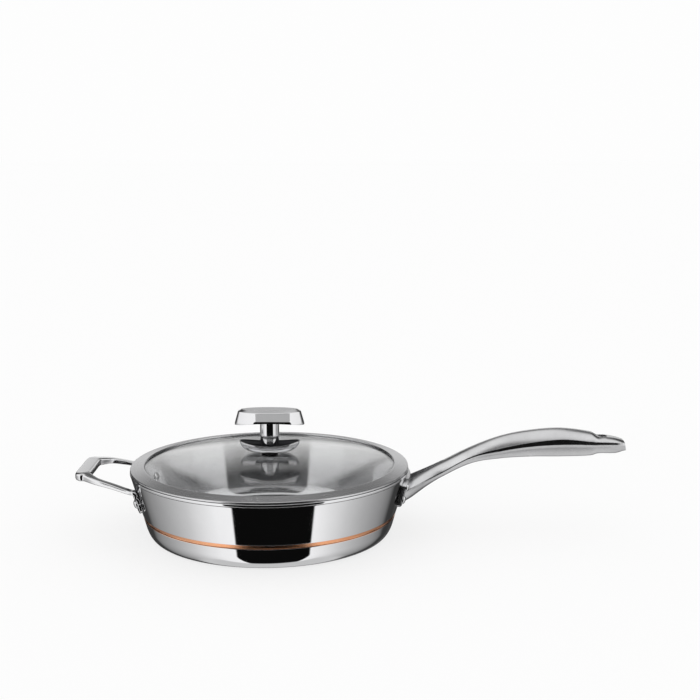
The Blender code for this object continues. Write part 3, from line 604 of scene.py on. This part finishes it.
# ---- long handle ------------------------------------------------------------------------------
# Stations along the handle: x, crest z, z of the upper edge, z of the band's lower edge,
# underside z, half width at the upper edge, and how flat the crown is.
HANDLE_STATIONS = (
    (0.1330, 0.0525, 0.0465, 0.0455, 0.0313, 0.0240, 2.2),
    (0.1410, 0.0567, 0.0497, 0.0487, 0.0358, 0.0215, 2.2),
    (0.1560, 0.0640, 0.0562, 0.0550, 0.0468, 0.0155, 2.2),
    (0.1710, 0.0713, 0.0632, 0.0619, 0.0561, 0.0120, 2.2),
    (0.2010, 0.0863, 0.0789, 0.0774, 0.0700, 0.0112, 2.2),
    (0.2300, 0.0973, 0.0878, 0.0843, 0.0749, 0.0127, 2.2),
    (0.2600, 0.1033, 0.0940, 0.0892, 0.0767, 0.0145, 2.2),
    (0.2900, 0.1053, 0.0969, 0.0911, 0.0767, 0.0147, 2.2),
    (0.3200, 0.1016, 0.0944, 0.0907, 0.0778, 0.0137, 2.4),
    (0.3265, 0.0979, 0.0937, 0.0907, 0.0799, 0.0132, 3.8),
    (0.3350, 0.0974, 0.0934, 0.0906, 0.0801, 0.0124, 4.0),
    (0.3450, 0.0959, 0.0928, 0.0901, 0.0802, 0.0108, 3.6),
    (0.3537, 0.0930, 0.0918, 0.0892, 0.0828, 0.0080, 3.0),
)
FLANK_SLOPE = math.tan(math.radians(30.0))  # how far the flank leans in just under the band
FLANK_FULLNESS = 0.88                       # how closely the flank follows its corner
FLANK_FOOT = 0.35                           # least width of the underside, as a share of the width
BAND_LEAN = (0.06, 0.0003)                  # how far the band is hollowed: per height, and at most
BAND_EDGE = (0.0001, 0.00015)               # width and height of the rounding at the band's edges


def handle_section(x):
    """One cross-section: crowned top, upright side band, and a flank that rolls under."""
    crest, edge, band, under, half, power = smooth_row(HANDLE_STATIONS, x)
    right = []
    crown_steps, flank_steps = 14, 12
    edge_width, edge_height = BAND_EDGE
    for i in range(1, crown_steps):
        share = math.sin(0.5 * math.pi * i / crown_steps)
        right.append((half * share, crest - (crest - edge) * share ** power))
    lean = min(BAND_LEAN[0] * (edge - band), BAND_LEAN[1])
    right += [(half - edge_width, edge + edge_height), (half, edge),
              (half - edge_width, edge - edge_height)]
    right += [(half - lean, edge - SUPPORT), (half - lean, band + SUPPORT)]
    right += [(half - edge_width, band + edge_height), (half, band), (half - SUPPORT, band - SUPPORT)]
    turn = (max(half - FLANK_SLOPE * (band - under), FLANK_FOOT * half), under)
    start = right[-1]
    leave, arrive = mix(start, turn, FLANK_FULLNESS), mix((0.0, under), turn, FLANK_FULLNESS)
    for i in range(1, flank_steps):
        t = i / flank_steps
        first, second = mix(start, leave, t), mix(leave, arrive, t)
        third = mix(arrive, (0.0, under), t)
        right.append(mix(mix(first, second, t), mix(second, third, t), t))
    points = [(0.0, crest)] + right + [(0.0, under)] + [(-y, z) for y, z in reversed(right)]
    return [Vector((x, y, z)) for y, z in points]


def make_long_handle(satin):
    root_x, tip_x = HANDLE_STATIONS[0][0], HANDLE_STATIONS[-1][0]
    count = 150
    rings = [handle_section(root_x + (tip_x - root_x) * i / count) for i in range(count + 1)]
    middle = 0.5 * (HANDLE_STATIONS[-1][1] + HANDLE_STATIONS[-1][4])
    for point in rings[-1]:
        point.x += TIP_LEAN * (middle - point.z)
    bm = bmesh.new()
    loft(bm, rings, cap=True)
    handle = link_mesh("long_handle_cast", bm)

    # the fork: a wedge-shaped opening with a round end
    mouth_x, end_x = root_x - CUTTER_REACH, FORK_END_X - FORK_END_R
    outline = [(mouth_x, -FORK_HALF_GAP), (end_x, -FORK_END_R)]
    outline += [(end_x + x, y) for x, y in arc((0, 0), (FORK_END_R, FORK_END_R), -60, 60, 13)]
    outline += [(end_x, FORK_END_R), (mouth_x, FORK_HALF_GAP)]
    bm = bmesh.new()
    loft(bm, [[Vector((x, y, z)) for x, y in outline] for z in FORK_CUTTER_Z], cap=True)
    cut(handle, link_mesh("fork_cutter", bm))

    # the plate that hugs the wall, joined to the arms
    bm = bmesh.new()
    rings = []
    steps = 48
    for i in range(steps + 1):
        share = 2.0 * i / steps - 1.0
        angle = PLATE_ANGLE * share
        into_corner = max(0.0, abs(share) - PLATE_CORNER_START) / (1.0 - PLATE_CORNER_START)
        corner = PLATE_CORNER * into_corner ** 2
        low, high = PLATE_Z[0] + corner, PLATE_Z[1] - corner
        ring = []
        for z, out in ((low, 0.0), (low, 0.8), (low + PLATE_EDGE, 1.0), (high - PLATE_EDGE, 1.0),
                       (high, 0.8), (high, 0.0)):
            radius = wall_radius(z) + (GAP + PLATE_THICKNESS * out) / math.cos(WALL_TAPER)
            ring.append(Vector((radius * math.cos(angle), radius * math.sin(angle), z)))
        rings.append(ring)
    loft(bm, rings, cap=True)
    cut(handle, link_mesh("plate", bm), "UNION")
    cut(handle, wall_cutter("wall_cutter"))

    low_z, high_z = HANDLE_BOX[0].z, HANDLE_BOX[1].z + HOLE_CUTTER_RISE
    hole_x, hole_r = HANG_HOLE
    hole = turned("hole_cutter", [(0.0, low_z), (hole_r, low_z), (hole_r, high_z), (0.0, high_z)],
                  steps=AROUND_RIVET, closed=False)
    hole.data.transform(Matrix.Translation((hole_x, 0.0, 0.0)))
    cut(handle, hole)
    for sign in (1.0, -1.0):
        for z in HANDLE_RIVET_Z:
            cut_rivet_seat(handle, sign * HANDLE_RIVET_ANGLE, z, PLATE_THICKNESS)
    handle.data.shade_smooth()
    handle.data.set_sharp_from_angle(angle=math.radians(32.0))
    place(handle, "long_handle", "pan", satin)


# ---- helper handle ------------------------------------------------------------------------------
def helper_path():
    """Half of the centre line, from the tab's lower end to the middle of the grip.

    Each entry is a point, the bar's width and thickness there, and the direction of its width.
    """
    angle = math.pi - HELPER_RIVET_ANGLE
    across_tab = Vector((-math.sin(angle), math.cos(angle), 0.0))
    outward = Vector((math.cos(WALL_TAPER) * math.cos(angle), math.cos(WALL_TAPER) * math.sin(angle),
                      -math.sin(WALL_TAPER)))
    lift = outward * (GAP + TAB[1] / 2.0)

    def on_wall(z):
        radius = wall_radius(z)
        return Vector((radius * math.cos(angle), radius * math.sin(angle), z)) + lift

    grip_x = HELPER_BOX[0].x + GRIP_INSET + GRIP_WIDTH / 2.0
    grip_z = HELPER_BOX[1].z - GRIP_THICKNESS / 2.0
    corner = Vector((grip_x, GRIP_HALF_Y, grip_z))
    wall_r = wall_radius(TAB_Z[1])
    foot = Vector((-math.sqrt(wall_r ** 2 - LEG_HALF_Y ** 2), LEG_HALF_Y, TAB_Z[1])) + lift * 1.4
    reach = corner - foot
    side = Vector((-reach.y, reach.x, 0.0)).normalized()
    grip = (GRIP_WIDTH, GRIP_THICKNESS)
    shoulder = on_wall(TAB_Z[1] - 0.0020).lerp(foot, 0.55)
    return [
        (on_wall(TAB_Z[0]), (TAB[0] * 0.45, TAB[1]), across_tab),
        (on_wall(TAB_Z[0] + 0.0022), (TAB[0] * 0.86, TAB[1]), across_tab),
        (on_wall(TAB_Z[0] + 0.0050), TAB, across_tab),
        (on_wall(HELPER_RIVET_Z + 0.0030), TAB, across_tab),
        (shoulder, (TAB[0] * 0.66, TAB[1]), across_tab),
        (foot + Vector((-0.0008, 0.0, 0.0030)), (LEG[0] * 1.15, LEG[1]), across_tab.lerp(side, 0.5)),
        (foot + reach * 0.12 + Vector((0.0, 0.0, 0.0020)), LEG, side),
        (foot + reach * 0.42 + Vector((0.0, 0.0008, 0.0022)), (LEG[0], LEG[1] * 1.2), side),
        (foot + reach * 0.72 + Vector((0.0, 0.0010, 0.0018)), (LEG[0] * 1.05, LEG[1] * 1.55), side),
        (corner + Vector((0.0052, -0.0032, -0.0003)), (LEG[0] * 1.3, grip[1] * 0.96),
         Vector((0.55, -0.83, 0.0))),
        (corner + Vector((0.0012, -0.0060, 0.0)), (grip[0] * 1.02, grip[1]), Vector((0.88, -0.47, 0.0))),
        (corner + Vector((0.0, -0.0120, 0.0)), grip, Vector((1.0, -0.1, 0.0))),
        (Vector((grip_x, 0.0, grip_z)), grip, Vector((1.0, 0.0, 0.0))),
    ]


def make_helper_handle(polished):
    rows = [(float(i), *point, *size, *side.normalized())
            for i, (point, size, side) in enumerate(helper_path())]
    parts = 9
    half = []
    for k in range((len(rows) - 1) * parts + 1):
        values = smooth_row(rows, k / parts)
        half.append((Vector(values[0:3]), values[3:5], Vector(values[5:8])))
    path = half + [(Vector((p.x, -p.y, p.z)), size, Vector((side.x, -side.y, side.z)))
                   for p, size, side in half[-2::-1]]
    rings = []
    for i, (point, (width, thickness), side) in enumerate(path):
        along = (path[min(i + 1, len(path) - 1)][0] - path[max(i - 1, 0)][0]).normalized()
        side = (side - along * side.dot(along)).normalized()
        up = side.cross(along)
        corner = BAR_CORNER * thickness
        box = [(-width / 2, -thickness / 2, corner), (width / 2, -thickness / 2, corner),
               (width / 2, thickness / 2, corner), (-width / 2, thickness / 2, corner)]
        rings.append([point + side * y + up * z for y, z in rounded(box, steps=7)])
    bm = bmesh.new()
    loft(bm, rings, cap=True)
    helper = link_mesh("helper_handle_cast", bm)
    cut(helper, wall_cutter("wall_cutter"))
    for sign in (1.0, -1.0):
        cut_rivet_seat(helper, math.pi - sign * HELPER_RIVET_ANGLE, HELPER_RIVET_Z, TAB[1])
    helper.data.shade_smooth()
    helper.data.set_sharp_from_angle(angle=math.radians(38.0))
    place(helper, "helper_handle", "pan", polished)


# ---- lid ----------------------------------------------------------------------------------------
def dome_z(radius):
    """Height of the glass's upper face at a radius from the lid's middle."""
    sphere = (RIM_INNER_R ** 2 + GLASS_RISE ** 2) / (2.0 * GLASS_RISE)
    return GLASS_BOX[1].z - (sphere - math.sqrt(sphere ** 2 - radius ** 2))


def make_lid(glass, brushed):
    glass_r = GLASS_BOX[1].x
    rings = 26
    radii = [GLASS_HOLE_R + (glass_r - GLASS_HOLE_R) * i / rings for i in range(rings + 1)]
    corners = [(r, dome_z(r), GLASS_EDGE if i in (0, rings) else 0.0) for i, r in enumerate(radii)]
    corners += [(r, z - GLASS_THICKNESS, rounding) for r, z, rounding in reversed(corners)]
    dome = turned("lid_glass_dome", rounded(corners), sharp=60.0)
    place(dome, "lid_glass", "lid", glass)

    slope = math.tan(RIM_SLOPE)
    under_z = dome_z(RIM_INNER_R) + SEAL_THICKNESS + 2.0 * GAP
    face_z = LID_RIM_BOX[1].z
    outer_r = LID_RIM_BOX[1].x
    floor_z = PAN_TOP + LID_LIFT_GAP
    skirt_z = LID_RIM_BOX[0].z
    shoulder_z = max(face_z - (outer_r - RIM_INNER_R) * slope, floor_z + RIM_EDGE_MIN)
    pan_inner = wall_radius(skirt_z) - WALL_STACK / math.cos(WALL_TAPER)
    skirt_r = pan_inner - SKIRT_CLEARANCE
    clear_r = glass_r + GLASS_CLEARANCE
    underside_z = dome_z(clear_r) + SEAL_THICKNESS + 2.0 * GAP
    curl_z, curl_r = dome_z(RIM_INNER_R) + GAP, RIM_INNER_R + RIM_CURL
    corners = [(RIM_INNER_R, face_z, 0.0010), (outer_r, shoulder_z, 0.0006), (outer_r, floor_z, 0.0004),
               (skirt_r, floor_z, RIM_BEND), (skirt_r, skirt_z, RIM_BEND),
               (skirt_r - RIM_SHEET, skirt_z, RIM_BEND),
               (max(skirt_r - RIM_SHEET - SKIRT_FOOT, clear_r), underside_z, RIM_BEND),
               (curl_r, under_z, 0.0), (curl_r, curl_z, 0.0), (RIM_INNER_R, curl_z, 0.0)]
    ring = turned("lid_rim_brushed", supported(rounded(corners)))
    place(ring, "lid_rim", "lid", brushed)


# ---- knob ---------------------------------------------------------------------------------------
def oval_body(name, corners, steps=6):
    """Lofts ovals whose half length, half depth, height and arch run along a rounded outline."""
    bm = bmesh.new()
    loft(bm, [oval(*values) for values in supported(rounded(corners, steps))], wrap=True)
    return link_mesh(name, bm, sharp=45.0)


def make_dish(polished, dark):
    rim_x, rim_y = DISH_BOX[1].x, DISH_BOX[1].y
    low, high = DISH_BOX[0].z, DISH_BOX[1].z
    outside, inside = [], []
    steps = 16
    for i in range(steps + 1):
        angle = 0.5 * math.pi * i / steps
        bulge = math.sin(angle) ** DISH_BULGE
        half_x = DISH_FOOT[0] + (rim_x - DISH_FOOT[0]) * bulge
        half_y = DISH_FOOT[1] + (rim_y - DISH_FOOT[1]) * bulge
        rise = 1.0 - math.cos(angle)
        arch = -DISH_DIP * rise
        outside.append((half_x, half_y, low + (high - low) * rise, arch, 0.0))
        inside.append((half_x - DISH_WALL, half_y - DISH_WALL,
                       low + DISH_WALL + (high - low - DISH_WALL) * rise, arch, 0.0))
    outside[-1] = (*outside[-1][:-1], 0.0004)
    inside[-1] = (*inside[-1][:-1], 0.0004)
    corners = outside + inside[::-1]
    corners += [(SCREW_HOLE_R, SCREW_HOLE_R, low + DISH_WALL, 0.0, 0.0),
                (SCREW_HOLE_R, SCREW_HOLE_R, low, 0.0, 0.0)]
    dish = oval_body("knob_dish_polished", corners)
    place(dish, "knob_dish", "lid", polished)
    # the dish's inside and its underside get the near-black steel: painted shade in the hollow and under
    # the dish
    dish.data.materials.append(dark)
    for face in dish.data.polygons:
        inward_facing = face.normal.x * face.center.x + face.normal.y * face.center.y < 0.0
        inside_face = inward_facing and face.center.z > low + DISH_WALL and face.normal.z > -0.1
        if inside_face or face.normal.z < -0.8:
            face.material_index = 1


def make_stem(polished):
    stem_r, stem_low, stem_high = STEM_BOX[1].x, STEM_BOX[0].z, STEM_BOX[1].z
    outline = rounded([(0.0, stem_low, 0.0), (STEM_FOOT_R, stem_low, 0.0003),
                       (stem_r, stem_low + STEM_FOOT_H, 0.0025), (stem_r, stem_high, 0.0004),
                       (0.0, stem_high, 0.0)], closed=False)
    stem = turned("knob_stem_polished", supported(outline, closed=False), AROUND_SMALL, closed=False)
    place(stem, "knob_stem", "lid", polished)


def make_cap(polished, dark):
    """A hollow oval hood with a recess in its top for the plate."""
    top_z, skirt_z = CAP_BOX[1].z, CAP_BOX[0].z
    edge_z = top_z - CAP_EDGE_DROP
    skirt = (CAP_BOX[1].x, CAP_BOX[1].y)
    recess = (PLATE_BOX[1].x + GAP, PLATE_BOX[1].y + GAP)
    flare, flare_height = CAP_LIP
    web_top = PLATE_BOX[0].z - GAP
    underside = STEM_BOX[1].z + GAP
    inner_edge = (CAP_EDGE[0] - CAP_WALL * 1.4, CAP_EDGE[1] - CAP_WALL * 1.4)
    corners = [
        (recess[0], recess[1], top_z, 0.0, 0.0002),
        (CAP_EDGE[0], CAP_EDGE[1], edge_z, 0.0, 0.0009),
        (skirt[0] - flare, skirt[1] - flare, skirt_z + flare_height, CAP_ARCH, 0.0014),
        (skirt[0], skirt[1], skirt_z, CAP_ARCH, 0.0003),
        (skirt[0] - CAP_WALL, skirt[1] - CAP_WALL, skirt_z, CAP_ARCH, 0.0003),
        (inner_edge[0], inner_edge[1], underside, 0.0, 0.0020),
        (SCREW_HOLE_R, SCREW_HOLE_R, underside, 0.0, 0.0),
        (SCREW_HOLE_R, SCREW_HOLE_R, web_top, 0.0, 0.0),
        (recess[0], recess[1], web_top, 0.0, 0.0),
    ]
    cap = oval_body("knob_cap_polished", corners, steps=10)
    place(cap, "knob_cap", "lid", polished)
    # the hood's downward faces get the near-black steel: painted shade under the cap
    cap.data.materials.append(dark)
    for face in cap.data.polygons:
        if face.normal.z < -0.2 and face.center.z > skirt_z + CAP_ARCH:
            face.material_index = 1


def make_inset_plate(satin):
    low, high = PLATE_BOX[0].z, PLATE_BOX[1].z
    center = (PLATE_CENTER_R, PLATE_CENTER_R)
    edge = (PLATE_BOX[1].x, PLATE_BOX[1].y)
    corners = [(*center, low, 0.0, 0.0), (*edge, low, 0.0, 0.0001), (*edge, high, 0.0, 0.0008),
               (*center, high, 0.0, 0.0)]
    bm = bmesh.new()
    rings = [oval(*values) for values in supported(rounded(corners, closed=False), closed=False)]
    loft(bm, rings, cap=True)
    inset = link_mesh("knob_inset_plate_satin", bm)
    place(inset, "knob_inset_plate", "lid", satin)


# ---- stage, light and camera ----------------------------------------------------------------------
WHITE = 0.985                               # brightness of the floor and of what lies behind it
FRONT_GAP = (-34.0, 47.0)                   # azimuths of the dark gap between the two softboxes
GAP_TOP = 19.5                              # the gap is dark up to this elevation, and grey above it
GAP_BLACK = 0.004
CEILING = 0.85                              # brightness of the ceiling light
FLOOR_IN_MIRRORS = 0.66                     # brightness of the floor as mirrors see it
FLOOR_GREY = 0.28                           # together with its glow the lit floor comes out white
FLOOR_GLOW = 0.71
FLOOR_HALF_SIZE = 30.0
FLOOR_DROP = 0.0001                         # the floor lies this far under the pan

CAMERA_PLACE = (0.0801, -1.2000, 0.3833)
CAMERA_TILT = 80.57
CAMERA_LENS = 63.46
CAMERA_SENSOR = 36.0


def soft_step(graph, value, low, high):
    """0 below low, 1 above high, smooth between; low may be above high."""
    node = graph.add("ShaderNodeMapRange", interpolation_type="SMOOTHSTEP")
    graph.link(value, node.inputs["Value"])
    start, end = (0.0, 1.0) if low < high else (1.0, 0.0)
    node.inputs["From Min"].default_value = min(low, high)
    node.inputs["From Max"].default_value = max(low, high)
    node.inputs["To Min"].default_value, node.inputs["To Max"].default_value = start, end
    return node.outputs["Result"]


def grey_curve(graph, value, low, high, points):
    """A brightness read off points (value, brightness)."""
    share = graph.fit(value, 0.0, 1.0, source=(low, high))
    stops = [((x - low) / (high - low), (grey, grey, grey)) for x, grey in points]
    return graph.ramp(share, stops)


def blend(graph, below, above, share):
    """below where share is 0, above where share is 1."""
    return graph.math("ADD", graph.math("MULTIPLY", below, graph.math("SUBTRACT", 1.0, share)),
                      graph.math("MULTIPLY", above, share))


def make_studio():
    """A white room for the floor and the background; mirrors see softboxes with dark between them."""
    world = bpy.data.worlds.new("studio")
    bpy.context.scene.world = world
    world.use_nodes = True
    graph = Graph(world.node_tree)
    background = world.node_tree.nodes["Background"]
    x, y, z = graph.split(graph.add("ShaderNodeTexCoord").outputs["Generated"])
    degree = 180.0 / math.pi
    azimuth = graph.math("MULTIPLY", graph.math("ARCTAN2", x, graph.math("MULTIPLY", y, -1.0)), degree)
    elevation = graph.math("MULTIPLY", graph.math("ARCSINE", z), degree)
    aside = graph.math("ABSOLUTE", azimuth)

    # softboxes at both sides, which fade towards the back
    low_side = grey_curve(graph, aside, 0.0, 180.0, (
        (35.0, 1.10), (50.0, 1.06), (60.0, 0.96), (73.0, 0.80), (82.0, 0.68), (91.0, 0.59), (101.0, 0.49),
        (112.0, 0.40), (124.0, 0.31), (134.0, 0.20), (141.0, 0.05), (156.0, 0.04), (166.0, 0.10)))
    high_side = grey_curve(graph, aside, 0.0, 180.0, (
        (35.0, 1.10), (102.0, 1.0), (112.0, 0.45), (120.0, 0.05)))
    side = blend(graph, low_side, high_side, soft_step(graph, elevation, -8.0, 4.0))

    # the backdrop, a bright strip near the horizon
    backdrop = grey_curve(graph, elevation, -90.0, 90.0, (
        (-60.0, 0.30), (-20.0, 0.05), (-3.0, 0.05), (5.0, 0.90), (16.0, 0.66), (21.0, 0.42), (27.0, 0.13),
        (38.0, 0.11), (45.0, 0.50), (56.0, 0.65), (90.0, 0.80)))
    room = blend(graph, side, backdrop, soft_step(graph, aside, 150.0, 162.0))

    # the ceiling light, and the dark gap in front
    room = blend(graph, room, CEILING, soft_step(graph, elevation, 48.0, 66.0))
    in_gap = graph.math("MULTIPLY", soft_step(graph, azimuth, FRONT_GAP[0] - 1.0, FRONT_GAP[0] + 1.0),
                        soft_step(graph, azimuth, FRONT_GAP[1] + 1.0, FRONT_GAP[1] - 1.0))
    above = grey_curve(graph, elevation, 0.0, 90.0, (
        (GAP_TOP, 0.05), (GAP_TOP + 3.0, 0.50), (41.5, 0.50), (44.5, 0.04), (54.0, 0.04), (62.0, 0.60),
        (66.0, 0.85)))
    gap = blend(graph, GAP_BLACK, above, soft_step(graph, elevation, GAP_TOP - 6.0, GAP_TOP))
    room = blend(graph, room, gap, in_gap)

    # straight down the floor is light again, from a line just in front of the pan
    down = graph.math("MAXIMUM", graph.math("MULTIPLY", z, -1.0), 0.001)
    forward = graph.math("DIVIDE", y, down)
    under = graph.math("MULTIPLY", soft_step(graph, forward, -0.34, -0.25),
                       soft_step(graph, elevation, -52.0, -60.0))
    room = blend(graph, room, FLOOR_IN_MIRRORS, under)

    path = graph.add("ShaderNodeLightPath").outputs
    plain = graph.math("MAXIMUM", path["Is Camera Ray"], path["Is Diffuse Ray"])
    color = blend(graph, room, WHITE, plain)
    graph.link(color, background.inputs["Color"])


def make_floor():
    """A plain white floor; mirrors look past it at the studio."""
    material = bpy.data.materials.new("studio_floor")
    material.use_nodes = True
    shader = material.node_tree.nodes["Principled BSDF"]
    shader.inputs["Base Color"].default_value = (FLOOR_GREY, FLOOR_GREY, FLOOR_GREY, 1.0)
    shader.inputs["Roughness"].default_value = 1.0
    shader.inputs["Specular IOR Level"].default_value = 0.0
    shader.inputs["Emission Color"].default_value = (1.0, 1.0, 1.0, 1.0)
    shader.inputs["Emission Strength"].default_value = FLOOR_GLOW
    bm = bmesh.new()
    bmesh.ops.create_grid(bm, x_segments=1, y_segments=1, size=FLOOR_HALF_SIZE)
    floor = link_mesh("studio_floor", bm)
    floor.location.z = CAD_BOX[0].z - FLOOR_DROP
    floor.data.materials.append(material)
    floor.visible_glossy = False


def make_camera():
    data = bpy.data.cameras.new("camera")
    data.lens = CAMERA_LENS
    data.sensor_width = CAMERA_SENSOR
    camera = bpy.data.objects.new("camera", data)
    camera.location = CAMERA_PLACE
    camera.rotation_euler = (math.radians(CAMERA_TILT), 0.0, 0.0)
    bpy.context.scene.collection.objects.link(camera)
    bpy.context.scene.camera = camera


def finish_kept_nodes(polished, rubber, clear_rubber, zinc):
    """Materials for the small CAD nodes that stay as they are."""
    kept = {"lid_seal": clear_rubber, "knob_upper_seal": rubber, "knob_lower_seal": rubber,
            "knob_lower_washer": polished, "knob_screw": zinc, "knob_top_screw": zinc}
    for node, material in kept.items():
        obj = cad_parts[node]
        for slot in obj.material_slots:
            slot.material = material


def main():
    bpy.context.scene.view_settings.view_transform = "Standard"
    polished = polished_steel("polished_steel")
    inside = ring_brushed_steel("ring_brushed_inside", (0.82, 0.82, 0.83), (0.09, 0.13), 0.65, 0.03)
    rim = ring_brushed_steel("ring_brushed_rim", (0.74, 0.74, 0.75), (0.24, 0.29), 0.45, 0.025)
    cast = satin_cast_steel("satin_cast_steel", (0.80, 0.80, 0.81), (0.20, 0.29), 0.10)
    plate = satin_cast_steel("satin_plate", (0.72, 0.72, 0.73), (0.26, 0.34), 0.15)
    helper = polished_steel("soft_polished_steel", gloss=(0.10, 0.16))
    # near-black steel that stands in for the shade inside the knob's dish and under its cap: painted
    # shade, not a real finish
    dark = polished_steel("painted_shade_steel", (0.10, 0.10, 0.105), (0.35, 0.5))
    make_pan(polished, inside, copper_metal("turned_copper"))
    make_rivets(polished)
    make_long_handle(cast)
    make_helper_handle(helper)
    make_lid(clear_glass("tempered_glass"), rim)
    make_dish(polished, dark)
    make_stem(polished)
    make_cap(polished, dark)
    make_inset_plate(plate)
    zinc = polished_steel("zinc_plate", (0.62, 0.63, 0.65), (0.25, 0.38))
    finish_kept_nodes(polished, silicone("black_silicone", (0.05, 0.05, 0.052)),
                      silicone("clear_silicone", (0.45, 0.46, 0.46)), zinc)
    make_studio()
    make_floor()
    make_camera()


main()
